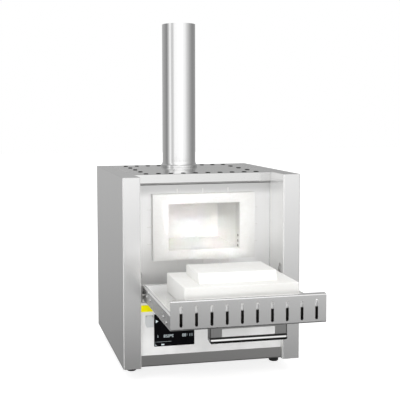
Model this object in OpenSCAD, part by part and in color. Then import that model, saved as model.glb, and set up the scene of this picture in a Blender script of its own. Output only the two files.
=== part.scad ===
// Bench-top ashing furnace with a fold-down flap door and a lift-off exhaust stack.
// +Z is up and -Y is the front. The origin is on the floor, at the middle of the
// rectangle that the furnace covers with its door open.

/* [Housing] */
// Width over the side panels
body_w = 385; // [370:1:430]
// Height of the top cover above the floor
body_h = 425; // [417:1:475]
// Depth from the front of the pillars to the rear edge
body_d = 375; // [365:1:430]
// Thickness of the stainless sheet
sheet = 1.5; // [1:0.1:2]
// Inside radius of the folds in the sheet
fold_r = 1.2; // [0.8:0.1:2]
// Width of each front pillar
pillar_w = 38; // [32:1:42]
// Distance of the lintel behind the pillars
recess_d = 76; // [74:1:84]
// Distance of the front plate behind the lintel
lintel_back = 6; // [5.5:0.5:8]
// Height of the lintel, the front lip of the top cover
lintel_h = 22; // [14:1:24]
// Height of the plinth, the front lip of the base pan
plinth_h = 24; // [16:1:26]
// Gap between sheet parts that meet edge to edge
sheet_gap = 0.3; // [0.2:0.05:0.6]

/* [Feet] */
// Height of the body above the floor
foot_h = 26; // [20:1:32]
// Diameter of a foot at its top
foot_d = 24; // [20:1:30]
// Distance of a foot's axis from the side of the body
foot_side = 30; // [28:0.5:34]
// Distance of a foot's axis from the front or the rear of the body
foot_end = 76; // [60:1:90]

/* [Chamber] */
// Width of the heating chamber
chamber_w = 160; // [150:1:170]
// Height of the heating chamber
chamber_h = 102; // [94:1:106]
// Depth of the heating chamber behind the fibre collar
chamber_d = 140; // [120:1:150]
// Width of the collar's rim beside the mouth
rim_w = 34.5; // [28:0.5:38]
// Height of the collar's rim above and below the mouth
rim_h = 21; // [18:0.5:23]
// Distance of the collar's face in front of the lintel
collar_proud = 8; // [5:0.5:10]
// Depth of the collar from its face to the chamber
collar_d = 30; // [26:1:36]
// Thickness of a heating plate
plate_t = 15; // [10:1:20]
// Thickness of the floor tile
tile_t = 10; // [8:1:14]
// Thickness of the insulation above the chamber
roof_ins = 56.4; // [50:0.1:66]
// Space between the inner casing and the rear of the body
rear_space = 36; // [32:1:42]
// Thickness of the inner casing
casing_t = 1; // [0.8:0.1:1.5]
// Space at each side between the inner casing and the outer sheet
air_gap = 44.5; // [44:0.5:46]

/* [Door] */
// Distance of the hinge axis from the door's outer face and its lower edge
hinge_inset = 10; // [9.5:0.5:12]
// Room under the swinging corner of the door
swing_clear = 2.4; // [1.5:0.1:4]
// Gap between the door and a pillar
door_side_gap = 6.5; // [6:0.25:7.5]
// Distance of the closed door's top edge below the top cover
door_top_gap = 1; // [1:0.5:5]
// Depth of the door's side flanges
flange_d = 30; // [26:1:32]
// Depth of the slotted edge at the top of the door
edge_d = 54.5; // [50:0.5:60]
// Number of air slots in the slotted edge
slot_n = 10; // [6:1:12]
// Distance between the slots
slot_pitch = 28.6; // [24:0.1:29]
// Width of an air slot
slot_w = 5.5; // [4:0.5:8]
// Length of an air slot
slot_l = 38; // [24:1:40]
// Gap between the closed door's fibre slab and the collar
slab_gap = 0.5; // [0.3:0.1:1]
// Height of the plug that enters the chamber's mouth
plug_t = 20; // [12:1:22]
// Gap round the plug in the mouth
plug_gap = 2.5; // [2:0.5:5]

/* [Handle] */
// Width of the handle
handle_w = 147; // [120:1:170]
// Distance that the handle stands out of the door
handle_out = 30; // [26:1:36]
// Depth of the handle's cheeks
handle_lip = 15; // [13:1:20]
// Diameter of the bar along the handle's edge
grip_d = 10; // [8:0.5:11]
// Thickness of the handle's sheet
handle_t = 2; // [1.5:0.1:2.5]
// Width of the window in the handle
window_w = 102; // [80:1:110]
// Height of the window in the handle
window_h = 15; // [12:0.5:16]
// Distance of the handle's face from the door's top edge
handle_drop = 6; // [4:0.5:10]

/* [Exhaust] */
// Outer diameter of the exhaust stack
stack_d = 80; // [75:1:86]
// Wall of the exhaust stack
stack_wall = 1; // [0.8:0.1:1.5]
// Height of the exhaust stack
stack_h = 344; // [200:1:500]
// Diameter of the bell at the foot of the stack
bell_d = 88; // [87:1:96]
// Height of the bell
bell_h = 14; // [10:1:20]
// Distance of the stack's axis from the rear of the body
stack_back = 76; // [72:1:80]
// Height of the spigot that the stack sits on
spigot_h = 35; // [25:1:45]
// Gap between the spigot and the stack
spigot_gap = 0.4; // [0.3:0.1:0.6]
// Outer diameter of the flue tube in the insulation
flue_d = 44; // [36:1:48]
// Wall of the flue tube
flue_wall = 3; // [2:0.5:4]
// Diameter of the exhaust port in the chamber's rear wall
port_d = 20; // [14:1:24]

/* [Vent slots] */
// Width of a vent slot in the top cover
vent_d = 7.5; // [5:0.5:9]
// Length of a vent slot from front to back
vent_l = 16; // [10:1:20]
// Number of vent slots along the front of the cover
vent_nx = 10; // [6:1:12]
// Number of vent slots from the front to the back
vent_ny = 5; // [4:1:7]
// Distance between the outer columns of vent slots
vent_span_x = 250; // [220:1:270]
// Distance of the back row of vent slots from the rear of the body
vent_back = 34; // [30:1:44]
// Distance of the front row from the front of the lintel
vent_front = 13; // [10:1:20]

/* [Controls] */
// Distance of the control panel behind the pillars
panel_y = 10; // [8:1:12]
// Height of the control panel
panel_h = 112; // [108:1:113]
// Thickness of the control panel
panel_t = 3; // [2:0.5:4]
// Height of the accent strip
strip_h = 14; // [8:1:16]
// Distance of the accent strip below the panel's top edge
strip_drop = 5; // [4:1:8]
// Width of the display's glass
glass_w = 86.5; // [80:0.5:90]
// Height of the display's glass
glass_h = 68.5; // [60:0.5:70]
// Distance of the service port's cover from the left pillar
cover_side = 10.25; // [9:0.25:12]
// Distance of the display's lower edge above the plinth
glass_up = 18.5; // [12:0.5:20]
// Width of the service port's cover
cover_w = 16.5; // [14:0.5:17]
// Height of the service port's cover
cover_h = 26.5; // [22:0.5:30]

/* [Hidden] */
$fn = 48;

steel = [0.74, 0.74, 0.73];
dark_steel = [0.45, 0.44, 0.43];
fibre = [0.96, 0.96, 0.94];
ceramic = [0.90, 0.88, 0.84];
white = [0.94, 0.94, 0.93];
black = [0.05, 0.05, 0.05];
copper_board = [0.1, 0.35, 0.2];

// Planes across the body, measured from the middle
side_x = body_w / 2;
bay_x = side_x - pillar_w;
pan_x = side_x - sheet - sheet_gap;

// Reach of the open door and of what stands out at the rear, which set the origin
door_z0 = foot_h + plinth_h + sheet_gap + panel_h + (sqrt(2) - 1) * hinge_inset + swing_clear;
hinge_y = hinge_inset;
hinge_z = door_z0 + hinge_inset;
door_z1 = body_h - door_top_gap;
door_reach = door_z1 - hinge_z - hinge_y;
rear_proud = 1.6;
corner_x = side_x - sheet - fold_r - sheet_gap;
front_y = (door_reach - body_d - rear_proud) / 2;

// Levels of the compartments
plinth_z = foot_h + plinth_h;
panel_z0 = plinth_z + sheet_gap;
panel_z1 = panel_z0 + panel_h;
shield_t = 1;
shield_z = panel_z1 + sheet_gap;
rail_h = 9;
casing_z0 = shield_z + shield_t + rail_h;
casing_z1 = body_h - sheet - 5.5;
casing_x = side_x - sheet - air_gap;
chamber_z1 = casing_z1 - casing_t - roof_ins;
chamber_z0 = chamber_z1 - chamber_h;

// Planes of the chamber from front to back
plate_y = recess_d + lintel_back;
collar_y = recess_d - collar_proud;
ins_y = plate_y + sheet;
chamber_y0 = collar_y + collar_d;
chamber_y1 = chamber_y0 + chamber_d;
casing_y1 = body_d - rear_space;
ins_x = casing_x - casing_t;
ins_z1 = casing_z1 - casing_t;
collar_x = chamber_w / 2 + rim_w;
plate_z0 = shield_z + shield_t + rail_h - 3;
plate_z1 = body_h - lintel_h + 6;
ring_clear = 0.5;
plate_fold = 12;

// Exhaust
stack_y = body_d - stack_back;
spigot_d = stack_d - 2 * stack_wall - 2 * spigot_gap;
port_z = chamber_z1 - port_d / 2 - 1;
flue_z0 = port_z + port_d / 2 + 2;
flue_clear = 0.3;
stack_seat = 0.2;

// Door
door_x = bay_x - door_side_gap;
door_slab_y = collar_y - slab_gap;
liner_y = flange_d - sheet;
plug_z0 = chamber_z0 + plug_gap + 0.5;
plug_root = chamber_z1 - 1;
tip_y = door_slab_y + plug_t - hinge_y;
swing_r = norm([collar_y - hinge_y, plug_root - hinge_z]);
plug_tip = hinge_z + sqrt(pow(swing_r, 2) - pow(tip_y, 2)) - 0.5;
pin_d = 6;
pin_clear = 0.05;
bracket_t = 3;
arm_t = 4;
stop_y = 12;
stop_z = -6.5;
stop_d = 5;
stop_clear = 0.05;
screw_d = 6;
screw_head = 1.6;

module in_place() {
    translate([0, front_y, 0]) children();
}

// The door and all that it carries is drawn closed, and folded down to its rest
module on_door() {
    in_place() translate([0, hinge_y, hinge_z]) rotate([90, 0, 0])
        translate([0, -hinge_y, -hinge_z]) children();
}

module block(low, high) {
    translate(low) cube(high - low);
}

module bar(w, y0, y1, z0, z1) {
    block([-w / 2, y0, z0], [w / 2, y1, z1]);
}

module both_sides() {
    children();
    mirror([1, 0, 0]) children();
}

// A profile drawn in Y and Z, run along X
module along_x(w) {
    rotate([90, 0, 90]) linear_extrude(w, center = true) children();
}

// A profile drawn in X and Z, run back along Y
module along_y(y0, y1) {
    translate([0, y1, 0]) rotate([90, 0, 0]) linear_extrude(y1 - y0) children();
}

module rod_x(x0, x1, d) {
    translate([x0, 0, 0]) rotate([0, 90, 0]) cylinder(h = x1 - x0, d = d);
}

module rod_y(y0, y1, d) {
    translate([0, y0, 0]) rotate([-90, 0, 0]) cylinder(h = y1 - y0, d = d);
}

module rounded(w, h, r) {
    square([w - 2 * r, h], center = true);
    square([w, h - 2 * r], center = true);
    for (x = [-1, 1], y = [-1, 1])
        translate([x * (w / 2 - r), y * (h / 2 - r)]) circle(r);
}

// Folded sheet: a path along the outer face, with the sheet's thickness to its left
function unit(v) = v / norm(v);
function left_of(v) = [-v[1], v[0]];
function cross2(a, b) = a[0] * b[1] - a[1] * b[0];
function bend(before, at, after, t, inside) =
    let (d1 = unit(at - before), d2 = unit(after - at))
    let (turn = cross2(d1, d2) > 0 ? 1 : -1, angle = acos(d1 * d2))
    let (path_r = turn > 0 ? fold_r + t : fold_r, other_r = turn > 0 ? fold_r : fold_r + t)
    let (centre = at - d1 * path_r * tan(angle / 2) + left_of(d1) * path_r * turn)
    let (start = atan2(-left_of(d1)[1] * turn, -left_of(d1)[0] * turn))
    let (r = inside ? other_r : path_r)
    [for (i = [0:4]) centre + r * [cos(start + turn * angle * i / 4), sin(start + turn * angle * i / 4)]];
function face(path, t, inside) =
    let (n = len(path) - 1, shift = inside ? t : 0)
    concat(
        [path[0] + shift * left_of(unit(path[1] - path[0]))],
        [for (i = [1:1:n - 1]) each bend(path[i - 1], path[i], path[i + 1], t, inside)],
        [path[n] + shift * left_of(unit(path[n] - path[n - 1]))]);
function turned(list) = [for (i = [len(list) - 1:-1:0]) list[i]];

module folded(path, t) {
    polygon(concat(face(path, t, false), turned(face(path, t, true))));
}

// Housing

module side_sheet() {
    rear_lip = 14;
    return_d = 26;
    difference() {
        translate([0, 0, foot_h]) linear_extrude(body_h - foot_h) folded([
            [rear_lip - side_x, body_d],
            [-side_x, body_d],
            [-side_x, 0],
            [-bay_x, 0],
            [-bay_x, recess_d + return_d]], sheet);
        block([-pan_x, panel_y - sheet, foot_h - 1], [1 - bay_x, body_d - sheet, foot_h + sheet + sheet_gap]);
    }
    block([sheet - side_x, sheet, body_h - sheet], [-bay_x, body_d - sheet, body_h]);
}

module left_side_panel() {
    in_place() color(steel) side_sheet();
}

module right_side_panel() {
    in_place() color(steel) mirror([1, 0, 0]) side_sheet();
}

function vent_spots() = [
    for (i = [0:vent_nx - 1], j = [0:vent_ny - 1])
        let (x = (i / (vent_nx - 1) - 0.5) * vent_span_x)
        let (y0 = recess_d + vent_front, y = y0 + j / (vent_ny - 1) * (body_d - vent_back - y0))
        if ((i == 0 || j == 0 || i == vent_nx - 1 || j == vent_ny - 1)
            && norm([x, y - stack_y]) > (bell_d + vent_l) / 2) [x, y]];

module top_cover() {
    rear_lip = 12;
    in_place() color(steel) difference() {
        along_x(2 * (bay_x - sheet_gap)) folded([
            [body_d, body_h - rear_lip],
            [body_d, body_h],
            [recess_d, body_h],
            [recess_d, body_h - lintel_h],
            [plate_y - sheet_gap, body_h - lintel_h]], sheet);
        for (spot = vent_spots())
            translate([spot[0], spot[1], body_h - 2 * sheet]) linear_extrude(3 * sheet) slot_2d(vent_d, vent_l);
        translate([0, stack_y, body_h - 2 * sheet]) cylinder(h = 3 * sheet, d = spigot_d + 2 * flue_clear);
    }
}

// Rear panel with rows of vent slots above and below, and its cut-outs

inlet_w = 47;
inlet_h = 27;
rocker_w = 19;
rocker_h = 13;
inlet_x = 110;
switch_x = 55;
rear_low_z = foot_h + 60;

module slot_2d(w, l) {
    square([w, l - w], center = true);
    for (s = [-1, 1]) translate([0, s * (l - w) / 2]) circle(w / 2, $fn = 24);
}

module rear_panel() {
    rear_y = body_d - sheet;
    slot_rows = [rear_low_z + 45, body_h - 55];
    rear_slot = 26;
    rear_pitch = 14;
    in_place() color(steel) along_y(rear_y - sheet, rear_y) difference() {
        translate([-corner_x, foot_h + 2 * sheet])
            square([2 * corner_x, body_h - foot_h - 3 * sheet - fold_r - sheet_gap]);
        for (z = slot_rows, i = [-6:6]) translate([i * rear_pitch, z]) slot_2d(4, rear_slot);
        translate([inlet_x, rear_low_z]) square([inlet_w, inlet_h] + [1, 1] * sheet_gap, center = true);
        translate([switch_x, rear_low_z]) square([rocker_w, rocker_h] + [6, 9] + [1, 1] * sheet_gap, center = true);
    }
}

module rear_screws() {
    head_y = body_d - sheet;
    in_place() color(steel) for (x = [-1, 1], z = [foot_h + 22, body_h / 2, body_h - 22])
        translate([x * (side_x - 22), 0, z])
            rod_y(head_y, head_y + 1.8, 7, $fn = 24);
}

module base_pan() {
    lip = 16;
    pan_y0 = sheet + fold_r + sheet_gap;
    pan_y1 = body_d - 2 * sheet - sheet_gap;
    front_x = bay_x - sheet_gap;
    in_place() color(dark_steel) difference() {
        union() {
            along_x(2 * front_x) folded([
                [panel_y, plinth_z],
                [panel_y, foot_h],
                [pan_y1, foot_h]], sheet);
            both_sides() block([bay_x - 1, panel_y + sheet, foot_h], [pan_x, pan_y1, foot_h + sheet]);
            both_sides() block([bay_x + sheet_gap, pan_y0, foot_h], [pan_x, panel_y + 2 * sheet, foot_h + sheet]);
            both_sides() block([pan_x - sheet, pan_y0, foot_h], [pan_x, pan_y1, foot_h + lip]);
        }
        foot_places() cylinder(h = 2 * foot_h, d = 5.4, $fn = 24);
    }
}

module foot_places() {
    for (x = [-1, 1], y = [foot_end, body_d - foot_end])
        translate([x * (side_x - foot_side), y, 0]) children();
}

module feet() {
    in_place() color(black) foot_places() rotate_extrude() polygon([
        [2.7, 3],
        [5.5, 3],
        [5.5, 0],
        [foot_d / 2 - 3, 0],
        [foot_d / 2 - 1.5, 1.2],
        [foot_d / 2, foot_h - 1.5],
        [foot_d / 2, foot_h],
        [2.7, foot_h]]);
}

module foot_screws() {
    in_place() color(steel) foot_places() {
        translate([0, 0, 1]) cylinder(h = 2, d = 8, $fn = 24);
        translate([0, 0, 2]) cylinder(h = foot_h + sheet + 2, d = 5, $fn = 24);
    }
}

module heat_shield() {
    in_place() color(steel) {
        shield_y0 = panel_y + panel_t + sheet_gap;
        bar(2 * (bay_x - sheet_gap), shield_y0, body_d - 2 * sheet - sheet_gap, shield_z, shield_z + shield_t);
        both_sides() block(
            [bay_x - 1, recess_d + 26 + sheet_gap, shield_z],
            [pan_x, body_d - 2 * sheet - sheet_gap, shield_z + shield_t]);
    }
}

// Heated part

module ring_2d(w, h, hole_w, hole_h, z) {
    translate([0, z]) difference() {
        square([w, h], center = true);
        square([hole_w, hole_h], center = true);
    }
}

module front_plate() {
    slit_l = rim_h * 0.48;
    slit_w = 2.4;
    opening_w = 2 * collar_x + 2 * ring_clear;
    opening_h = chamber_h + 2 * rim_h + 2 * ring_clear;
    mid_z = (chamber_z0 + chamber_z1) / 2;
    slit_x = opening_w / 4;
    slit_z = opening_h * 0.26;
    plate_x = bay_x - sheet_gap;
    in_place() color(steel) {
        along_y(plate_y, plate_y + sheet) difference() {
            translate([-plate_x, plate_z0]) square([2 * plate_x, plate_z1 - plate_z0]);
            translate([0, mid_z]) {
                square([opening_w, opening_h], center = true);
                for (i = [-1:1])
                    translate([i * slit_x, 0]) square([slit_w, opening_h + 2 * slit_l], center = true);
                for (i = [-1:1])
                    translate([0, i * slit_z]) square([opening_w + 2 * slit_l, slit_w], center = true);
            }
        }
        bar(2 * plate_x, plate_y, plate_y + plate_fold, plate_z0, plate_z0 + sheet);
    }
}

module fibre_collar() {
    mid_z = (chamber_z0 + chamber_z1) / 2;
    in_place() color(fibre) difference() {
        union() {
            along_y(collar_y, ins_y) ring_2d(2 * collar_x, chamber_h + 2 * rim_h, chamber_w, chamber_h, mid_z);
            along_y(ins_y, chamber_y0) difference() {
                translate([-ins_x, casing_z0 + casing_t]) square([2 * ins_x, ins_z1 - casing_z0 - casing_t]);
                translate([0, mid_z]) square([chamber_w, chamber_h], center = true);
            }
        }
        both_sides() air_ports([for (z = [14.5, 25, 37]) [collar_y + 13, z]]);
    }
}

module inner_casing() {
    in_place() color(steel) difference() {
        bar(2 * casing_x, ins_y, casing_y1, casing_z0, casing_z1);
        bar(2 * ins_x, ins_y - 1, casing_y1 - casing_t, casing_z0 + casing_t, ins_z1);
        translate([0, stack_y, casing_z1 - 5]) cylinder(h = 10, d = flue_d + 2 * flue_clear);
        terminal_places() rod_y(casing_y1 - 5, casing_y1 + 5, terminal_d + 2 * flue_clear, $fn = 24);
        translate([probe_x, 0, probe_z]) rod_y(casing_y1 - 5, casing_y1 + 5, probe_d + 2 * flue_clear, $fn = 24);
    }
}

module casing_rails() {
    rail_w = 22;
    rail_x = 100;
    in_place() color(steel) both_sides() translate([rail_x, 0, shield_z + shield_t])
        along_y(plate_y + plate_fold + sheet_gap, casing_y1 - 6) difference() {
            translate([-rail_w / 2, 0]) square([rail_w, rail_h]);
            translate([casing_t - rail_w / 2, -1]) square([rail_w - 2 * casing_t, rail_h - casing_t + 1]);
        }
}

module insulation_top() {
    in_place() color(fibre) bar(2 * ins_x, chamber_y0, chamber_y1, chamber_z1, ins_z1);
}

module insulation_bottom() {
    in_place() color(fibre)
        bar(2 * ins_x, chamber_y0, chamber_y1, casing_z0 + casing_t, chamber_z0 - tile_t);
}

module side_insulation() {
    block([chamber_w / 2 + plate_t, chamber_y0, chamber_z0 - tile_t], [ins_x, chamber_y1, chamber_z1]);
}

module insulation_left() {
    in_place() color(fibre) mirror([1, 0, 0]) side_insulation();
}

module insulation_right() {
    in_place() color(fibre) side_insulation();
}

module insulation_rear() {
    in_place() color(fibre) difference() {
        bar(2 * ins_x, chamber_y1, casing_y1 - casing_t, casing_z0 + casing_t, ins_z1);
        translate([0, 0, port_z]) rod_y(chamber_y1 - 1, stack_y, port_d);
        translate([0, stack_y, flue_z0 - port_d - 4]) cylinder(h = port_d + 4.5, d = port_d + 2);
        translate([0, stack_y, flue_z0]) cylinder(h = body_h, d = flue_d + 2 * flue_clear);
        terminal_places() rod_y(chamber_y1 - 1, casing_y1, terminal_d + 2 * flue_clear, $fn = 24);
        translate([probe_x, 0, probe_z]) rod_y(chamber_y1 - 1, casing_y1, probe_d + 2 * flue_clear, $fn = 24);
    }
}

// Small air ports open into the chamber low down on both sides
port_hole_d = 3;
port_hole_t = 6;

module air_ports(spots) {
    for (spot = spots) translate([chamber_w / 2, spot[0], chamber_z0 + spot[1]])
        rod_x(-1, port_hole_t, port_hole_d, $fn = 24);
}

module heating_plate() {
    difference() {
        block([chamber_w / 2, chamber_y0, chamber_z0 - tile_t], [chamber_w / 2 + plate_t, chamber_y1, chamber_z1]);
        air_ports([for (i = [0:3]) [chamber_y0 + 18 + i * 26, 4]]);
    }
}

module heating_plate_left() {
    in_place() color(ceramic) mirror([1, 0, 0]) heating_plate();
}

module heating_plate_right() {
    in_place() color(ceramic) heating_plate();
}

module floor_tile() {
    in_place() color(ceramic)
        bar(chamber_w - 2 * sheet_gap, chamber_y0 + sheet_gap, chamber_y1 - sheet_gap, chamber_z0 - tile_t, chamber_z0);
}

terminal_d = 4;
probe_d = 8;
probe_x = 48;
probe_reach = 20;
probe_z = chamber_z1 - 13;

module terminal_places() {
    for (x = [-1, 1], z = [chamber_z0 + 18, chamber_z1 - 18])
        translate([x * (chamber_w / 2 + plate_t / 2), 0, z]) children();
}

module heater_terminals() {
    in_place() color(steel) terminal_places() {
        rod_y(chamber_y1, casing_y1 + 16, terminal_d, $fn = 24);
        rod_y(casing_y1 + flue_clear, casing_y1 + 7, terminal_d + 5, $fn = 24);
    }
}

module thermocouple() {
    head_y = casing_y1 + flue_clear;
    in_place() color(ceramic) translate([probe_x, 0, probe_z]) {
        rod_y(chamber_y1 - probe_reach, head_y + 2, probe_d, $fn = 24);
        rod_y(head_y, head_y + 14, 20, $fn = 32);
        bar(9, head_y + 10, head_y + 20, -14, 14);
    }
}

module flue_tube() {
    in_place() color(ceramic) translate([0, stack_y, flue_z0]) difference() {
        cylinder(h = body_h - sheet - flue_z0, d = flue_d);
        translate([0, 0, -1]) cylinder(h = body_h, d = flue_d - 2 * flue_wall);
    }
}

module flue_spigot() {
    flange_z = body_h - 2 * sheet;
    flange_w = spigot_d + 28;
    in_place() color(steel) translate([0, stack_y, 0]) difference() {
        union() {
            translate([0, 0, flange_z]) cylinder(h = sheet, d = flange_w);
            translate([0, 0, flange_z]) cylinder(h = 2 * sheet + spigot_h, d = spigot_d);
        }
        translate([0, 0, flange_z - 1]) cylinder(h = 2 * sheet + spigot_h + 2, d = spigot_d - 2 * stack_wall);
    }
}

module exhaust_stack() {
    foot_z = body_h + stack_seat;
    inner = stack_d / 2 - stack_wall;
    outer = stack_d / 2;
    flare = bell_d / 2;
    lead = bell_h * 0.35;
    in_place() color(steel) translate([0, stack_y, foot_z]) rotate_extrude($fn = 96) polygon(concat(
        [[inner, stack_h - stack_seat], [outer, stack_h - stack_seat], [outer, bell_h]],
        [for (a = [15:15:90]) [flare - (flare - outer) * cos(a), lead + (bell_h - lead) * (1 - sin(a))]],
        [[flare, 0], [flare - stack_wall, 0]],
        [[flare - stack_wall, lead * 0.6]],
        [[inner, bell_h]]));
}

// Control panel

cover_x = -bay_x + cover_side + cover_w / 2;
glass_x = cover_x + cover_w / 2 + 2 + glass_w / 2;
glass_z = plinth_z + glass_up + glass_h / 2;
cover_z1 = glass_z + glass_h / 2;
glass_proud = 1.2;
body_inset = 3;
display_d = 16;

module control_panel() {
    port_w = 9;
    port_h = 12;
    in_place() color(white) along_y(panel_y, panel_y + panel_t) difference() {
        translate([-bay_x + sheet_gap, panel_z0]) square([2 * (bay_x - sheet_gap), panel_h]);
        translate([glass_x, glass_z])
            square([glass_w, glass_h] - 2 * (body_inset - sheet_gap) * [1, 1], center = true);
        translate([cover_x, cover_z1 - cover_h / 2]) square([port_w, port_h], center = true);
    }
}

module accent_strip() {
    strip_t = 0.4;
    in_place() color([1, 0.93, 0.05])
        bar(2 * (bay_x - sheet_gap), panel_y - strip_t, panel_y, panel_z1 - strip_drop - strip_h, panel_z1 - strip_drop);
}

module display_module() {
    in_place() color(black) translate([glass_x, 0, glass_z]) {
        along_y(panel_y - glass_proud, panel_y) rounded(glass_w, glass_h, 1.5);
        along_y(panel_y, panel_y + display_d)
            square([glass_w, glass_h] - 2 * body_inset * [1, 1], center = true);
    }
}

board_t = 1.6;
standoff_h = 6;
board_y = panel_y + display_d + standoff_h;

module board_spots() {
    for (x = [-1, 1], z = [-1, 1])
        translate([glass_x + x * (glass_w / 2 - 8), 0, glass_z + z * (glass_h / 2 - 8)]) children();
}

module board_standoffs() {
    in_place() color("gold") board_spots() rod_y(panel_y + display_d, board_y, 5, $fn = 6);
}

module controller_board() {
    chip_w = glass_w * 0.23;
    rear_y = board_y + board_t;
    in_place() color(copper_board) translate([glass_x, 0, glass_z]) {
        along_y(board_y, rear_y) square([glass_w + 6, glass_h + 4], center = true);
        translate([-0.9 * chip_w, rear_y, glass_h * 0.12]) cube([chip_w, 4, chip_w]);
        translate([chip_w / 2, rear_y, -glass_h * 0.29]) cube([1.1 * chip_w, 12, 0.8 * chip_w]);
        translate([-1.7 * chip_w, rear_y, -glass_h * 0.38]) cube([1.5 * chip_w, 9, chip_w / 2]);
        for (i = [0:2]) translate([12 + i * 10, 0, glass_h * 0.23]) rod_y(board_y, rear_y + 11, 7, $fn = 24);
    }
}

// The port's cover hangs on a pin at its top and swings up
cover_t = 2;
cover_pin_d = 1.6;
cover_pin_z = cover_z1 - 2.5;
cover_pin_y = panel_y - cover_t / 2 - sheet_gap;

module port_cover() {
    nick = 5;
    w = cover_w / 2;
    barrel_w = cover_w - 7;
    in_place() color([0.82, 0.84, 0.85]) translate([cover_x, 0, cover_pin_z]) difference() {
        union() {
            along_y(cover_pin_y - cover_t / 2, cover_pin_y + cover_t / 2) polygon([
                [-w, 0],
                [-w, nick - cover_h + 2.5],
                [nick * 0.6 - w, 2.5 - cover_h],
                [w, 2.5 - cover_h],
                [w, 0],
                [barrel_w / 2, 0],
                [-barrel_w / 2, 0]]);
            translate([0, cover_pin_y, 0]) rod_x(-barrel_w / 2, barrel_w / 2, cover_t + 0.4);
        }
        translate([0, cover_pin_y, 0]) rod_x(-w - 1, w + 1, cover_pin_d + 2 * pin_clear, $fn = 24);
        for (s = [-1, 1]) translate([s * (w + barrel_w / 2) / 2, cover_pin_y, 0])
            block([-(w - barrel_w / 2) / 2 - 0.2, -3, -1.6], [(w - barrel_w / 2) / 2 + 0.2, 3, 3]);
    }
}

module port_hinge_pin() {
    w = cover_w / 2;
    ear = 2;
    in_place() color([0.82, 0.84, 0.85]) translate([cover_x, 0, cover_pin_z]) {
        translate([0, cover_pin_y, 0]) rod_x(-w, w, cover_pin_d, $fn = 24);
        for (s = [-1, 1]) translate([s * (w - ear / 2), 0, 0])
            block([-ear / 2, cover_pin_y - 1, -1], [ear / 2, panel_y, 1.4]);
    }
}

module service_port() {
    port_z0 = cover_z1 - cover_h / 2;
    in_place() color(steel) translate([cover_x, 0, port_z0]) {
        along_y(panel_y + 0.5, panel_y + 14) difference() {
            square([8, 11], center = true);
            square([5, 9], center = true);
        }
        along_y(panel_y + 8, panel_y + 14) square([7, 10], center = true);
        along_y(panel_y + panel_t, panel_y + panel_t + 1.5) difference() {
            square([12, 16], center = true);
            square([7.6, 10.6], center = true);
        }
    }
}

// Electrical parts on the base pan

sink_x = 40;
sink_y = 190;
sink_w = 70;
sink_l = 80;
sink_h = 26;
pan_z = foot_h + sheet;

module heat_sink() {
    fin_n = 9;
    fin_t = 2;
    in_place() color([0.8, 0.8, 0.82]) translate([sink_x, 0, pan_z]) along_y(sink_y, sink_y + sink_l) {
        translate([-sink_w / 2, sink_h - 5]) square([sink_w, 5]);
        for (i = [0:fin_n - 1])
            translate([-sink_w / 2 + i * (sink_w - fin_t) / (fin_n - 1), 0]) square([fin_t, sink_h - 4]);
    }
}

module solid_state_relay() {
    relay_z = pan_z + sink_h;
    relay_y = sink_y + sink_l / 2;
    in_place() color(black) translate([sink_x, relay_y, relay_z]) difference() {
        block([-22.5, -29, 0], [22.5, 29, 22]);
        for (x = [-14, 14], y = [-24, 24]) translate([x, y, 14]) cylinder(h = 10, d = 7, $fn = 24);
    }
}

module terminal_block() {
    pole_n = 6;
    pole_w = 9;
    in_place() color([0.85, 0.83, 0.75]) translate([-pan_x / 2, body_d - 60, pan_z]) difference() {
        block([0, 0, 0], [pole_n * pole_w, 26, 22]);
        for (i = [0:pole_n - 1]) translate([(i + 0.5) * pole_w, 0, 0]) {
            block([-3, -1, 10], [3, 6, 23]);
            block([-3, 20, 10], [3, 27, 23]);
            translate([0, 13, 14]) cylinder(h = 9, d = 4.5, $fn = 24);
        }
    }
}

module mains_inlet() {
    rear_y = body_d - sheet;
    pin_w = 2;
    in_place() color(black) translate([inlet_x, 0, rear_low_z]) {
        difference() {
            union() {
                along_y(rear_y, rear_y + 3) rounded(inlet_w + 11, inlet_h + 8, 4, $fn = 24);
                along_y(rear_y - 26, rear_y) square([inlet_w - 1, inlet_h - 1], center = true);
            }
            along_y(rear_y - 16, rear_y + 4) polygon([
                [-12.2, -8],
                [12.2, -8],
                [12.2, 4],
                [8.2, 8],
                [-8.2, 8],
                [-12.2, 4]]);
        }
        for (x = [-7, 0, 7]) along_y(rear_y - 17, rear_y - 2)
            translate([x, x == 0 ? 3 : -2]) square([pin_w, 5], center = true);
    }
}

module power_switch() {
    rear_y = body_d - sheet;
    in_place() color(black) translate([switch_x, 0, rear_low_z]) difference() {
        union() {
            along_y(rear_y, rear_y + 2) rounded(rocker_w + 10, rocker_h + 14, 2, $fn = 24);
            along_y(rear_y - 20, rear_y) square([rocker_w + 6, rocker_h + 9], center = true);
        }
        along_y(rear_y - 9, rear_y + 3) square([rocker_w, rocker_h], center = true);
        translate([0, rocker_y, 0]) cylinder(h = rocker_h + 2 * pivot_l, d = pivot_d + 2 * pin_clear, center = true);
    }
}

// The rocker is a shallow vee with its pivot in the switch's body
rocker_y = body_d - sheet - 2.5;
rocker_throw = 14;
pivot_d = 3;
pivot_l = 1.5;

module power_rocker() {
    half = rocker_w / 2 - 1;
    in_place() color([0.6, 0.08, 0.06]) translate([switch_x, rocker_y, rear_low_z]) {
        linear_extrude(rocker_h - 1, center = true) rotate(rocker_throw / 2) polygon([
            [-half, 4.6],
            [0, 3.6],
            [half, 4.6],
            [half - 0.8, 1.8],
            [2.6, -2],
            [-2.6, -2],
            [0.8 - half, 1.8]]);
        cylinder(h = rocker_h + 2 * pivot_l - 1, d = pivot_d, center = true);
    }
}

// Door hinge: a bracket on each pillar holds a pin, and an arm in the door turns on it

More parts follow.
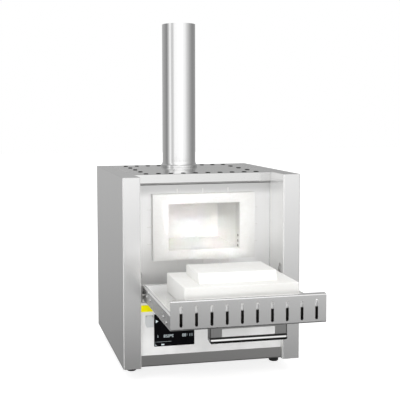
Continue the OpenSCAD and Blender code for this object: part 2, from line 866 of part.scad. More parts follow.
module hinge_brackets() {
    bracket_w = 34;
    low = 12;
    high = 22;
    stop_face = hinge_y - stop_z - stop_d / 2 - stop_clear;
    in_place() color(steel) both_sides() {
        difference() {
            block([bay_x - bracket_t, 2, hinge_z - low], [bay_x, bracket_w, hinge_z + high]);
            translate([0, hinge_y, hinge_z]) rod_x(bay_x - 10, bay_x + 1, pin_d + 0.02);
        }
        block(
            [bay_x - bracket_t - 2.8, stop_face - 3.5, hinge_z + stop_y - 4],
            [bay_x - bracket_t + 0.1, stop_face, hinge_z + stop_y + 4]);
    }
}

module hinge_pins() {
    in_place() color(steel) both_sides() translate([0, hinge_y, hinge_z])
        rod_x(door_x - sheet - arm_t - 2, bay_x - 0.02, pin_d);
}

module hinge_arms() {
    arm_l = 46;
    arm_w = 14;
    boss_x = door_x - sheet;
    on_door() color(steel) both_sides() translate([boss_x - arm_t, 0, 0]) difference() {
        union() {
            translate([0, hinge_y, hinge_z]) rod_x(0, arm_t, arm_w);
            block([0, hinge_y - arm_w / 2, hinge_z], [arm_t, hinge_y + arm_w / 2, hinge_z + arm_l]);
        }
        translate([0, hinge_y, hinge_z]) rod_x(-1, arm_t + 1, pin_d + 2 * pin_clear);
    }
}

module door_shell() {
    lip = 10;
    hem = 8;
    slot_y = (edge_d - slot_l) / 2;
    on_door() color(steel) difference() {
        union() {
            along_x(2 * door_x) folded([
                [edge_d, door_z1 - lip],
                [edge_d, door_z1],
                [0, door_z1],
                [0, door_z0],
                [flange_d, door_z0],
                [flange_d, door_z0 + hem]], sheet);
            both_sides() block(
                [door_x - sheet, sheet / 2, door_z0 + sheet / 2],
                [door_x, flange_d, door_z1 - sheet / 2]);
        }
        for (i = [0:slot_n - 1])
            translate([(i - (slot_n - 1) / 2) * slot_pitch, slot_y + slot_l / 2 - 2, door_z1 - 2 * sheet])
                linear_extrude(3 * sheet) slot_2d(slot_w, slot_l);
        translate([0, hinge_y, hinge_z]) rod_x(-door_x - 1, door_x + 1, pin_d + 2 * pin_clear);
    }
}

// The core stops short of the slotted edge, and a channel closes it off from the slots
door_duct = 26;
baffle_t = 1;

module door_core() {
    gap = sheet_gap;
    arm_room = arm_t + sheet + 2 * gap + 2;
    on_door() color(fibre)
        bar(2 * (door_x - arm_room), sheet + gap, liner_y - gap, door_z0 + sheet + gap + 14, door_z1 - sheet - door_duct);
}

module door_baffle() {
    base_z = door_z1 - sheet - door_duct;
    lip_z = base_z + 12;
    y0 = sheet + sheet_gap;
    y1 = liner_y - sheet_gap;
    on_door() color(dark_steel) along_x(2 * (door_x - sheet - sheet_gap))
        folded([[y0, lip_z], [y0, base_z], [y1, base_z], [y1, lip_z]], baffle_t);
}

// The liner is a shallow tray, with its highest rim behind the slots
module door_liner() {
    edge = 2.5;
    rim = 12;
    w = 2 * (door_x - sheet - 1);
    rim_z = door_z1 - sheet - 4;
    foot_z = door_z0 + sheet + 9;
    on_door() color(steel) {
        along_x(w) folded([[liner_y + rim, rim_z], [liner_y, rim_z], [liner_y, foot_z]], sheet);
        both_sides() block([w / 2 - sheet, liner_y, foot_z], [w / 2, liner_y + sheet + edge, rim_z]);
    }
}

module door_slab() {
    inset = 2.5;
    on_door() color(fibre)
        bar(2 * (collar_x - inset), liner_y + sheet, door_slab_y, chamber_z0 - rim_h + 1, chamber_z1 + rim_h - 1);
}

// The plug's upper face slopes so that it clears the mouth as the door swings
module door_plug() {
    on_door() color(fibre) along_x(chamber_w - 2 * plug_gap) polygon([
        [door_slab_y, plug_z0],
        [door_slab_y + plug_t - 2, plug_z0],
        [door_slab_y + plug_t, plug_z0 + 2],
        [door_slab_y + plug_t, plug_tip],
        [door_slab_y, plug_root]]);
}

// The handle is a plate with a window, a bar along its edge and two cheeks
module door_handle() {
    face_z = door_z1 - handle_drop;
    bar_y = grip_d / 2 - handle_out;
    window_y = -3;
    corner = grip_d / 2;
    on_door() color(steel) intersection() {
        translate([0, 0, face_z - 2 * handle_lip]) linear_extrude(3 * handle_lip) handle_outline(corner);
        union() {
            difference() {
                bar(handle_w, bar_y, 0, face_z - handle_t, face_z);
                translate([0, window_y - window_h / 2, face_z - 1.5 * handle_t]) linear_extrude(2 * handle_t)
                    rounded(window_w, window_h, 2, $fn = 24);
            }
            translate([0, bar_y, face_z + 2 - grip_d / 2]) rod_x(-handle_w / 2, handle_w / 2, grip_d);
            both_sides() block(
                [handle_w / 2 - handle_t, bar_y, face_z - handle_lip],
                [handle_w / 2, 0, face_z - handle_t / 2]);
        }
    }
}

module handle_outline(r) {
    w = handle_w / 2;
    translate([-w, r - handle_out]) square([2 * w, handle_out - r]);
    translate([r - w, -handle_out]) square([2 * (w - r), handle_out]);
    for (s = [-1, 1]) translate([s * (w - r), r - handle_out]) circle(r);
}

module door_stop_pins() {
    on_door() color(steel) both_sides() translate([0, hinge_y + stop_y, hinge_z + stop_z])
        rod_x(door_x, door_x + 3, stop_d, $fn = 24);
}

module door_screws() {
    door_l = door_z1 - hinge_z;
    low = [[15, 37.5], [26, 53], [15, 70]];
    high = [[13, door_l - 57.2], [8, door_l - 32.2]];
    on_door() color(steel) both_sides() for (spot = concat(low, high))
        translate([0, spot[0], hinge_z + spot[1]])
            rod_x(door_x, door_x + screw_head, screw_d, $fn = 24);
}

// A thin leaf spring on each pillar holds the closed door by friction
module catch_springs() {
    leaf_t = 0.8;
    leaf_w = 6;
    leaf_l = 18;
    pad_l = 4;
    leaf_y = 16;
    leaf_z = hinge_z + 41;
    lean = 25;
    bulge = door_side_gap - screw_head - leaf_t - 0.3;
    end = leaf_l / 2 + pad_l;
    bow = [for (a = [-90:15:90]) [bay_x - bulge * cos(a), a / 90 * leaf_l / 2]];
    in_place() color(steel) both_sides()
        translate([0, leaf_y, leaf_z]) rotate([90 - lean, 0, 0]) linear_extrude(leaf_w, center = true) polygon(concat(
            [[bay_x, -end]],
            bow,
            [[bay_x, end], [bay_x - leaf_t, end]],
            [for (p = turned(bow)) p - [leaf_t, 0]],
            [[bay_x - leaf_t, -end]]));
}

left_side_panel();
right_side_panel();
top_cover();
rear_panel();
base_pan();
feet();
foot_screws();
heat_shield();
front_plate();
inner_casing();
casing_rails();
fibre_collar();
insulation_top();
insulation_bottom();
insulation_left();
insulation_right();
insulation_rear();
heating_plate_left();
heating_plate_right();
floor_tile();
heater_terminals();
thermocouple();
flue_tube();
flue_spigot();
exhaust_stack();
control_panel();
accent_strip();
display_module();
controller_board();
board_standoffs();
port_cover();
port_hinge_pin();
service_port();
solid_state_relay();
heat_sink();
terminal_block();
mains_inlet();
power_switch();
power_rocker();
hinge_brackets();
hinge_pins();
hinge_arms();
door_shell();
door_core();
door_liner();
door_baffle();
door_slab();
door_plug();
door_handle();
door_stop_pins();
door_screws();
catch_springs();
rear_screws();
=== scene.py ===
import bpy, bmesh, math
from mathutils import Euler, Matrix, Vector


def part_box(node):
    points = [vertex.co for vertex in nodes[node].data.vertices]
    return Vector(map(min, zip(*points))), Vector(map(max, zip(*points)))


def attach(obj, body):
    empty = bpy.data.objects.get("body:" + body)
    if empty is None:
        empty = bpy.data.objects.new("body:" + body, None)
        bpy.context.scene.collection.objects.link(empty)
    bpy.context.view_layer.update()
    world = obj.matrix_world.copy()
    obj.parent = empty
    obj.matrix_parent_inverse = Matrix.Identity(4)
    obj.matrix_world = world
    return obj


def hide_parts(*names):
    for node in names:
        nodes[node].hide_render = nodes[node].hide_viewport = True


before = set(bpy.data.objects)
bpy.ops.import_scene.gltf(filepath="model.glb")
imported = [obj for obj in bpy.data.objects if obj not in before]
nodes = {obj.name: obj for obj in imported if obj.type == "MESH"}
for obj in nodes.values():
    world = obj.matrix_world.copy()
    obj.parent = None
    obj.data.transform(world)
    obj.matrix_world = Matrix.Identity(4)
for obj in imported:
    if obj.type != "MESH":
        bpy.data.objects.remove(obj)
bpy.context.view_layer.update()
print("frame loaded:", len(nodes), "nodes")


# shader maths as Python expressions

class Wire:
    def __init__(self, graph, socket):
        self.graph, self.socket = graph, socket

    def maths(self, operation, first, second=None, clamp=False):
        sockets = {0: first} if second is None else {0: first, 1: second}
        settings = {"operation": operation, "use_clamp": clamp}
        return self.graph.add("ShaderNodeMath", settings, sockets)["Value"]

    def __add__(self, other): return self.maths("ADD", self, other)
    def __radd__(self, other): return self.maths("ADD", other, self)
    def __sub__(self, other): return self.maths("SUBTRACT", self, other)
    def __rsub__(self, other): return self.maths("SUBTRACT", other, self)
    def __mul__(self, other): return self.maths("MULTIPLY", self, other)
    def __rmul__(self, other): return self.maths("MULTIPLY", other, self)
    def __truediv__(self, other): return self.maths("DIVIDE", self, other)
    def __abs__(self): return self.maths("ABSOLUTE", self)
    def under(self, other): return self.maths("LESS_THAN", self, other)
    def larger(self, other): return self.maths("MAXIMUM", self, other)
    def turnFrom(self, other): return self.maths("ARCTAN2", self, other)
    def clamped(self): return self.maths("ADD", self, 0, True)

    def between(self, low, high):  # 0 at low, 1 at high, smooth in between
        settings = {"interpolation_type": "SMOOTHSTEP"}
        sockets = {"Value": self, "From Min": low, "From Max": high}
        return self.graph.add("ShaderNodeMapRange", settings, sockets)["Result"]


class Outputs:
    def __init__(self, graph, node):
        self.graph, self.node = graph, node

    def __getitem__(self, name):
        return Wire(self.graph, self.node.outputs[name])


class Graph:
    def __init__(self, tree):
        self.tree = tree
        tree.nodes.clear()

    def add(self, kind, settings=None, sockets=None):
        node = self.tree.nodes.new(kind)
        for name, value in (settings or {}).items():
            if name == "stops":
                ramp = node.color_ramp.elements
                while len(ramp) < len(value):
                    ramp.new(0.5)
                for stop, (position, colour) in zip(ramp, value):
                    stop.position, stop.color = position, (*colour, 1)
            else:
                setattr(node, name, value)
        for name, value in (sockets or {}).items():
            if isinstance(value, Wire):
                self.tree.links.new(value.socket, node.inputs[name])
            else:
                node.inputs[name].default_value = value
        return Outputs(self, node)

    def mix(self, factor, first, second):  # colours, given as wires or as tuples
        colour = lambda c: c if isinstance(c, Wire) else (*c, 1)
        sockets = {0: factor, 6: colour(first), 7: colour(second)}
        return self.add("ShaderNodeMix", {"data_type": "RGBA"}, sockets)[2]

    def greyRamp(self, levels, factor, top=1.0):  # levels are (position, level), up to top
        stops = [(position, (level / top,) * 3) for position, level in levels]
        return self.add("ShaderNodeValToRGB", {"stops": stops}, {"Fac": factor})["Color"]

    def place(self):
        return self.add("ShaderNodeTexCoord")["Object"]

    def axes(self, vector):
        parts = self.add("ShaderNodeSeparateXYZ", sockets={0: vector})
        return parts["X"], parts["Y"], parts["Z"]

    def noise(self, scale, detail=3, stretch=(1, 1, 1), rough=0.5):
        mapping = self.add("ShaderNodeMapping", sockets={"Vector": self.place(), "Scale": stretch})
        sockets = {"Vector": mapping["Vector"], "Scale": scale, "Detail": detail, "Roughness": rough}
        return self.add("ShaderNodeTexNoise", sockets=sockets)["Fac"]

    def bump(self, height, distance, strength=1.0):
        sockets = {"Height": height, "Distance": distance, "Strength": strength}
        return self.add("ShaderNodeBump", sockets=sockets)["Normal"]


def newMaterial(name):
    material = bpy.data.materials.new(name)
    material.use_nodes = True
    return material, Graph(material.node_tree)


def surface(graph, sockets):
    shader = graph.add("ShaderNodeBsdfPrincipled", sockets=sockets)
    graph.add("ShaderNodeOutputMaterial", sockets={"Surface": shader["BSDF"]})


# satin sheet: fine streaks along one axis, with slow clouds in tone and gloss

satinLook = {"shade": 0.9, "light": 1.1, "cloudScale": 7, "streakTone": 0.02, "streakRough": 0.03,
             "cloudRough": 0.03, "bump": 0.1, "pale": (0.97, 0.97, 0.965), "paleDull": 0.6,
             "dark": (0.03, 0.03, 0.03)}


def satinSheet(name, colour, rough, streak=(6, 6, 1400), depth=0.000002, clouds=0.04, metallic=1.0,
               paintedLightAndDull=None):
    look = satinLook
    material, graph = newMaterial(name)
    pale, dark = paintedLightAndDull(graph) if paintedLightAndDull else (None, None)  # painted highlights on folds and rims, a duller finish on the plate, and painted shade in gaps
    streaks = graph.noise(1, 2, streak)
    cloud = graph.noise(look["cloudScale"], 2)
    tone = 1 + (cloud - 0.5) * clouds + (streaks - 0.5) * look["streakTone"]
    low = tuple(c * look["shade"] for c in colour)
    high = tuple(min(1, c * look["light"]) for c in colour)
    share = (tone - look["shade"]) / (look["light"] - look["shade"])
    finish = graph.mix(share.clamped(), low, high)
    # pale: a painted highlight, paler and less metallic; on the plate, a duller finish
    if pale:
        finish = graph.mix(pale, finish, look["pale"])
        metallic = metallic - pale * look["paleDull"]
    # dark: painted shade
    if dark:
        finish = graph.mix(dark, finish, look["dark"])
    surface(graph, {
        "Base Color": finish,
        "Roughness": rough + (streaks - 0.5) * look["streakRough"] + (cloud - 0.5) * look["cloudRough"],
        "Metallic": metallic,
        "Normal": graph.bump(streaks, depth, look["bump"])})
    return material


# painted light on the folded sheets: where each is painted pale as a highlight (on the plate, a duller
# finish instead) and where it is painted dark as shade; each gives the two masks, pale and dark

sideLook = {"fold": 0.0022, "innerWall": 0.0016, "wallPale": 0.8, "topSkin": 0.0006, "topShade": 0.14}


def sidePaintedLight(graph):  # painted highlights on both folds of the front pillars, painted light on the wall that returns into the mouth, and painted shade along the top
    low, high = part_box("right_side_panel")
    across, along, up = graph.axes(graph.place())
    out, fold = abs(across), sideLook["fold"]
    front = along.between(low[1] + fold, low[1] + fold / 2)
    outer = out.between(high[0] - fold, high[0] - fold / 2)
    inner = out.between(low[0] + fold, low[0] + fold / 2)
    wall = out.under(low[0] + sideLook["innerWall"]) * (1 - front)
    # painted shade along the upward top edge
    top = 1 - up.under(high[2] - sideLook["topSkin"])
    pale = front * (outer + inner) + wall * sideLook["wallPale"]
    return pale.clamped(), top * sideLook["topShade"]


coverLook = {"margin": 0.008, "rearMargin": 0.004, "skin": 0.0002, "cutEdge": 0.0013}


def coverPaintedShade(graph):  # the cut walls of the vent slots painted black: painted shade inside the slots
    low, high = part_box("top_cover")
    across, along, up = graph.axes(graph.place())
    inside = abs(across).under(high[0] - coverLook["margin"])
    inside = inside * (1 - along.under(low[1] + coverLook["margin"]))
    inside = inside * along.under(high[1] - coverLook["rearMargin"])
    walls = up.under(high[2] - coverLook["skin"]) * (1 - up.under(high[2] - coverLook["cutEdge"]))
    return None, inside * walls


# gap: how far under the lintel the painted shadow line lies
plateLook = {"dull": 0.5, "gap": 0.0024, "gapBlur": 0.0004, "gapDark": 0.85,
             "shadeEnd": 0.032, "shadeFull": 0.010, "shadeDark": 0.34}


def plateDullAndPaintedShade(graph):  # a painted shadow line under the lintel and painted shade below it, and a plate that is duller than the outer sheets
    low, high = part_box("top_cover")
    across, along, up = graph.axes(graph.place())
    # the painted shadow line under the lintel, and painted shade reaching down from it
    shadowLineUp = low[2] - plateLook["gap"]
    gap = up.between(shadowLineUp - plateLook["gapBlur"], shadowLineUp + plateLook["gapBlur"])
    shade = up.between(low[2] - plateLook["shadeEnd"], low[2] - plateLook["shadeFull"])
    dark = (gap * plateLook["gapDark"]).larger(shade * plateLook["shadeDark"])
    return up.under(low[2]) * plateLook["dull"], dark


doorLook = {"flangeStart": 0.0024, "flangeFull": 0.0010, "frontEdge": 0.0016, "rimDrop": 0.0022,
            "rimBlur": 0.0003, "flangeShade": 0.30}


def doorPaintedLight(graph):  # painted shade on the side flanges, darker than the front edge, and painted highlights on their upper rims
    low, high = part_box("door_shell")
    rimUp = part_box("door_liner")[0][2] - doorLook["rimDrop"]
    across, along, up = graph.axes(graph.place())
    flange = abs(across).between(high[0] - doorLook["flangeStart"], high[0] - doorLook["flangeFull"])
    flange = flange * (1 - along.under(low[1] + doorLook["frontEdge"]))
    rim = flange * up.between(rimUp - doorLook["rimBlur"], rimUp + doorLook["rimBlur"])
    return rim, flange * (1 - rim) * doorLook["flangeShade"]


linerLook = {"lipStart": 0.0020, "lipFull": 0.0010, "rim": 0.0020}


def linerPaintedLight(graph):  # painted highlights on the tray's raised lips, and painted light on its rim behind the slots
    low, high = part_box("door_liner")
    across, along, up = graph.axes(graph.place())
    lip = abs(across).between(high[0] - linerLook["lipStart"], high[0] - linerLook["lipFull"])
    rim = along.under(low[1] + linerLook["rim"])
    return (lip + rim).clamped(), None


sheets = {
    "sideSteel": {"colour": (0.95, 0.945, 0.94), "rough": 0.26, "paintedLightAndDull": sidePaintedLight},
    "frontSteel": {"colour": (0.93, 0.925, 0.92), "rough": 0.24, "paintedLightAndDull": doorPaintedLight},
    "plateSteel": {"colour": (0.96, 0.955, 0.95), "rough": 0.30, "paintedLightAndDull": plateDullAndPaintedShade},
    "coverSteel": {"colour": (0.74, 0.74, 0.735), "rough": 0.12, "streak": (6, 1400, 6),
                   "paintedLightAndDull": coverPaintedShade},
    # the base pan: the same stainless sheet, painted darker as shade
    "panSteelShaded": {"colour": (0.49, 0.485, 0.48), "rough": 0.30},
    "linerSteel": {"colour": (0.97, 0.97, 0.965), "rough": 0.22, "streak": (6, 1400, 6),
                   "paintedLightAndDull": linerPaintedLight},
    "stackSteel": {"colour": (0.92, 0.92, 0.92), "rough": 0.15, "streak": (60, 60, 5)},
    "screwSteel": {"colour": (0.97, 0.97, 0.965), "rough": 0.12, "streak": (60, 60, 60)},
    "plainSteel": {"colour": (0.72, 0.715, 0.70), "rough": 0.32},
    "hingeSteel": {"colour": (0.40, 0.395, 0.385), "rough": 0.34},
    # very dark, clouded steel for the inner casing and the door baffle
    "darkInnerSteel": {"colour": (0.07, 0.065, 0.06), "rough": 0.55, "streak": (30, 30, 30),
                    "depth": 0.00005, "clouds": 0.5, "metallic": 0.6},
    "brass": {"colour": (0.72, 0.53, 0.24), "rough": 0.3},
    "aluminium": {"colour": (0.74, 0.745, 0.75), "rough": 0.35, "streak": (900, 9, 900)}}
materials = {name: satinSheet(name, **look) for name, look in sheets.items()}


# the handle, in painted light: a plate painted darker than the polished bar, a painted highlight on the
# bar's upper half, and on its lower half a painted reflection of the dark bench under it

gripLook = {"plate": 0.46, "dark": 0.06, "bright": 0.90, "barTop": 0.0086, "barShade": 0.0060,
            "shadeBlur": 0.0012, "stripTop": 0.0124, "cheek": 0.0019, "cheekDark": 0.8,
            "rough": 0.28, "barGloss": 0.14, "grain": (1400, 6, 6), "grainRough": 0.04,
            "grainDepth": 0.000002, "bump": 0.1}


def gripPaintedLightSheet(name):
    look = gripLook
    low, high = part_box("door_handle")
    material, graph = newMaterial(name)
    grain = graph.noise(1, 2, look["grain"])
    across, along, up = graph.axes(graph.place())
    height = up - low[2]
    bar = height.under(look["barTop"])
    # painted reflection of the dark bench on the bar's lower half; painted shade on the strip above the
    # bar and on the cheeks
    shade = height.between(look["barShade"] + look["shadeBlur"], look["barShade"] - look["shadeBlur"])
    strip = (1 - bar) * height.under(look["stripTop"])
    cheek = 1 - abs(across).under(high[0] - look["cheek"])
    grey = lambda level: (level, level, level * 0.99)
    # the plate painted darker than the bar, whose upper half is a painted highlight
    tone = graph.mix(bar, grey(look["plate"]), grey(look["bright"]))
    darkened = (shade + strip + cheek * look["cheekDark"]).clamped()
    surface(graph, {
        "Base Color": graph.mix(darkened, tone, grey(look["dark"])),
        "Roughness": look["rough"] - bar * look["barGloss"] + (grain - 0.5) * look["grainRough"],
        "Metallic": 1.0,
        "Normal": graph.bump(grain, look["grainDepth"], look["bump"])})
    return material


materials["gripSteelPaintedLight"] = gripPaintedLightSheet("gripSteelPaintedLight")


# fibre board: clouds of tone, short strands and fine pits

boardLook = {"cloudScale": 14, "strandScale": 160, "strandStretch": (1, 1, 2.4), "strandRough": 0.65,
             "pitScale": 420, "shade": (0.93, 0.92, 0.9), "cloudShare": 0.5, "cloudRange": (0.3, 0.72),
             "strandShare": 0.3, "strandRange": (0.35, 0.6), "strandDepth": 0.7, "pitDepth": 0.3,
             "rough": 0.92, "specular": 0.2, "depth": 0.0006, "bump": 0.45}
boards = {
    "fibre": {"colour": (0.95, 0.95, 0.935)},
    # the collar: the same fibre, painted darker as shade against the strong front light
    "collarFibreShaded": {"colour": (0.89, 0.89, 0.88)},
    "blanket": {"colour": (0.93, 0.925, 0.90), "grain": 1.8},
    "ceramic": {"colour": (0.965, 0.965, 0.96), "grain": 0.5},
    "probe": {"colour": (0.80, 0.76, 0.68), "grain": 0.3}}


def fibreBoard(name, colour, grain=1.0):
    look = boardLook
    material, graph = newMaterial(name)
    clouds = graph.noise(look["cloudScale"], 4)
    strands = graph.noise(look["strandScale"], 5, look["strandStretch"], look["strandRough"])
    pits = graph.noise(look["pitScale"], 2)
    shade = tuple(c * k for c, k in zip(colour, look["shade"]))
    patches = clouds.between(*look["cloudRange"]) * look["cloudShare"]
    threads = strands.between(*look["strandRange"]) * look["strandShare"]
    height = strands * look["strandDepth"] + pits * look["pitDepth"]
    surface(graph, {
        "Base Color": graph.mix(patches + threads, colour, shade),
        "Roughness": look["rough"],
        "Specular IOR Level": look["specular"],
        "Normal": graph.bump(height, look["depth"] * grain, look["bump"])})
    return material


materials.update({name: fibreBoard(name, **look) for name, look in boards.items()})


# moulded and painted pieces: even colour with slow clouds, over a fine grain

mouldedLook = {"shade": 0.93, "light": 1.03, "lift": 0.002, "cloudScale": 18,
               "cloudRange": (0.3, 0.7), "cloudRough": 0.06, "bump": 0.3}
mouldings = {
    "panelWhite": {"colour": (0.97, 0.97, 0.965), "rough": 0.34, "grain": 0.00001},
    # the yellow strip glows a little: painted light that lifts it out of the shade under the door
    "yellow": {"colour": (1.0, 0.91, 0.0), "rough": 0.6, "grain": 0.00001, "specular": 0.1,
               "glow": 0.12},
    "glass": {"colour": (0.002, 0.002, 0.003), "rough": 0.12, "grain": 0.000002, "scale": 300,
              "specular": 0.1},
    "blackPlastic": {"colour": (0.03, 0.03, 0.031), "rough": 0.5},
    "rubber": {"colour": (0.022, 0.022, 0.022), "rough": 0.8, "grain": 0.0001, "scale": 600},
    "portShade": {"colour": (0.16, 0.14, 0.12), "rough": 0.9},
    "rocker": {"colour": (0.45, 0.03, 0.022), "rough": 0.35},
    "flapGrey": {"colour": (0.68, 0.70, 0.71), "rough": 0.42},
    "board": {"colour": (0.02, 0.16, 0.07), "rough": 0.4}}


def moulded(name, colour, rough, grain=0.00004, scale=900, specular=0.5, glow=0.0):
    look = mouldedLook
    material, graph = newMaterial(name)
    fine = graph.noise(scale, 2)
    cloud = graph.noise(look["cloudScale"], 2)
    low = tuple(c * look["shade"] for c in colour)
    high = tuple(min(1, c * look["light"] + look["lift"]) for c in colour)
    surface(graph, {
        "Base Color": graph.mix(cloud.between(*look["cloudRange"]), low, high),
        "Roughness": rough + (cloud - 0.5) * look["cloudRough"],
        "Specular IOR Level": specular,
        "Emission Color": (*colour, 1),
        "Emission Strength": glow,
        "Normal": graph.bump(fine, grain, look["bump"])})
    return material


materials.update({name: moulded(name, **look) for name, look in mouldings.items()})

wears = {
    "sideSteel": ["left_side_panel", "right_side_panel", "rear_panel"],
    "frontSteel": ["door_shell", "port_hinge_pin"],
    "plateSteel": ["front_plate"],
    "gripSteelPaintedLight": ["door_handle"],
    "darkInnerSteel": ["inner_casing", "door_baffle"],
    "coverSteel": ["top_cover"],
    "panSteelShaded": ["base_pan"],
    "linerSteel": ["door_liner"],
    "stackSteel": ["exhaust_stack", "flue_spigot"],
    "hingeSteel": ["hinge_brackets", "hinge_arms", "catch_springs"],
    "plainSteel": ["heat_shield", "casing_rails", "foot_screws", "rear_screws", "door_screws",
                   "door_stop_pins", "hinge_pins", "heater_terminals", "service_port"],
    "fibre": ["door_slab", "door_plug"],
    "collarFibreShaded": ["fibre_collar"],
    "blanket": ["insulation_top", "insulation_bottom", "insulation_left", "insulation_right",
                "insulation_rear", "door_core"],
    "ceramic": ["heating_plate_left", "heating_plate_right", "floor_tile", "terminal_block"],
    "probe": ["thermocouple", "flue_tube"],
    "panelWhite": ["control_panel"],
    "yellow": ["accent_strip"],
    "glass": ["display_module"],
    "blackPlastic": ["mains_inlet", "power_switch", "solid_state_relay"],
    "rubber": ["feet"],
    "rocker": ["power_rocker"],
    "flapGrey": ["port_cover"],
    "board": ["controller_board"],
    "brass": ["board_standoffs"],
    "aluminium": ["heat_sink"]}

for finishName, members in wears.items():
    for member in members:
        slots = nodes[member].data.materials
        slots.clear()
        slots.append(materials[finishName])
missing = set(nodes) - {member for members in wears.values() for member in members}
print("materials made:", len(materials), "bare nodes:", sorted(missing))


# plain meshes, and small parts set out by Geometry Nodes

weldDistance = 0.00001


def addToScene(thing):
    bpy.context.scene.collection.objects.link(thing)
    return thing


def newObject(name, mesh, body, finishName, slotName, *replaced):
    thing = addToScene(bpy.data.objects.new(name, mesh))
    if finishName:  # parts that were set out have their material already
        mesh.materials.clear()
        mesh.materials.append(materials[finishName])
    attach(thing, body)
    if replaced:
        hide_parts(*replaced)
    return thing


def meshOf(name, points, faces, smooth=False):
    mesh = bpy.data.meshes.new(name)
    mesh.from_pydata([tuple(p) for p in points], [], faces)
    for face in mesh.polygons:
        face.use_smooth = smooth
    mesh.update()
    return mesh


def boxFaces(start):
    corners = ((0, 3, 2, 1), (4, 5, 6, 7), (0, 1, 5, 4), (1, 2, 6, 5), (2, 3, 7, 6), (3, 0, 4, 7))
    return [tuple(start + i for i in corner) for corner in corners]


def boxCorners(low, high):
    (a, b, c), (d, e, f) = low, high
    return [(a, b, c), (d, b, c), (d, e, c), (a, e, c), (a, b, f), (d, b, f), (d, e, f), (a, e, f)]


def setOutTree():  # places a part at every point, turned to the point's own direction
    tree = bpy.data.node_groups.new("setOut", "GeometryNodeTree")
    kinds = {"Geometry": "Geometry", "Part": "Object", "Size": "Float", "Finish": "Material"}
    for name, kind in kinds.items():
        tree.interface.new_socket(name, in_out="INPUT", socket_type="NodeSocket" + kind)
    tree.interface.new_socket("Geometry", in_out="OUTPUT", socket_type="NodeSocketGeometry")
    graph = Graph(tree)
    given = graph.add("NodeGroupInput")
    facing = graph.add("GeometryNodeInputNamedAttribute", {"data_type": "FLOAT_VECTOR"},
                       {"Name": "facing"})
    turn = graph.add("FunctionNodeAlignRotationToVector", {"axis": "Z"},
                     {"Vector": facing["Attribute"]})
    part = graph.add("GeometryNodeObjectInfo", {"transform_space": "ORIGINAL"},
                     {"Object": given["Part"]})
    placed = graph.add("GeometryNodeInstanceOnPoints", None, {
        "Points": given["Geometry"], "Instance": part["Geometry"], "Rotation": turn["Rotation"],
        "Scale": given["Size"]})
    real = graph.add("GeometryNodeRealizeInstances", None, {"Geometry": placed["Instances"]})
    coloured = graph.add("GeometryNodeSetMaterial", None, {
        "Geometry": real["Geometry"], "Material": given["Finish"]})
    graph.add("NodeGroupOutput", None, {"Geometry": coloured["Geometry"]})
    return tree


def plainMesh(thing):  # the evaluated shape as a mesh of its own, with no modifier left
    bpy.context.view_layer.update()
    whole = thing.evaluated_get(bpy.context.evaluated_depsgraph_get())
    mesh = bpy.data.meshes.new_from_object(whole)
    bpy.data.objects.remove(thing)
    return mesh


def giveInputs(modifier, values):
    for item in modifier.node_group.interface.items_tree:
        if item.in_out == "INPUT" and item.name in values:
            modifier[item.identifier] = values[item.name]


setOut = setOutTree()


def setOutParts(name, part, spots, finishName, size=1.0):  # spots are (place, facing)
    cloud = bpy.data.meshes.new(name)
    cloud.from_pydata([tuple(spot) for spot, facing in spots], [], [])
    facings = cloud.attributes.new("facing", "FLOAT_VECTOR", "POINT")
    for item, (spot, facing) in zip(facings.data, spots):
        item.vector = facing
    holder = addToScene(bpy.data.objects.new(name, cloud))
    source = addToScene(bpy.data.objects.new(name + "Part", part))
    modifier = holder.modifiers.new("setOut", "NODES")
    modifier.node_group = setOut
    giveInputs(modifier, {"Part": source, "Size": size, "Finish": materials[finishName]})
    mesh = plainMesh(holder)
    bpy.data.objects.remove(source)
    mesh.name = name
    return mesh


def middles(node, keep=None):  # each loose shell of a node: its middle, lowest and highest corner
    mesh = bmesh.new()
    mesh.from_mesh(nodes[node].data)
    bmesh.ops.remove_doubles(mesh, verts=mesh.verts, dist=weldDistance)
    if keep:
        others = [face for face in mesh.faces if not keep(face)]
        bmesh.ops.delete(mesh, geom=others, context="FACES")
    left, found = set(mesh.verts), []
    while left:
        island, edge = set(), [left.pop()]
        while edge:
            vert = edge.pop()
            island.add(vert)
            for link in vert.link_edges:
                other = link.other_vert(vert)
                if other in left:
                    left.remove(other)
                    edge.append(other)
        low = Vector([min(v.co[i] for v in island) for i in range(3)])
        high = Vector([max(v.co[i] for v in island) for i in range(3)])
        found.append(((low + high) / 2, low, high))
    mesh.free()
    return sorted(found, key=lambda each: tuple(each[0]))


# screws of the door's flanges and of the rear panel

screwLook = {
    "flange": {"radius": 0.0032, "height": 0.0016, "socket": 0.0014},
    "rear": {"radius": 0.0035, "height": 0.0018, "socket": 0.0017},
    "sides": 24, "socketFloor": 0.35,
    "crown": [(0.98, 0), (1, 0.25), (0.93, 0.68), (0.72, 0.94)]}  # parts of the radius and the height


def screwHead(name, radius, height, socket):  # a domed head with a hexagon socket
    sides, crown = screwLook["sides"], screwLook["crown"]
    turns = [2 * math.pi * i / sides for i in range(sides)]
    points, faces = [], []
    for out, up in crown:
        points += [(radius * out * math.cos(a), radius * out * math.sin(a), height * up) for a in turns]
    for depth in (height, height * screwLook["socketFloor"]):
        for angle in turns:
            reach = socket / math.cos((angle % (math.pi / 3)) - math.pi / 6)
            points.append((reach * math.cos(angle), reach * math.sin(angle), depth))
    rings = len(crown) + 2
    for ring in range(rings - 1):
        lower, upper = ring * sides, (ring + 1) * sides
        for i in range(sides):
            j = (i + 1) % sides
            faces.append((lower + i, lower + j, upper + j, upper + i))
    faces.append(tuple((rings - 1) * sides + i for i in range(sides)))
    faces.append(tuple(reversed(range(sides))))
    return meshOf(name, points, faces, True)


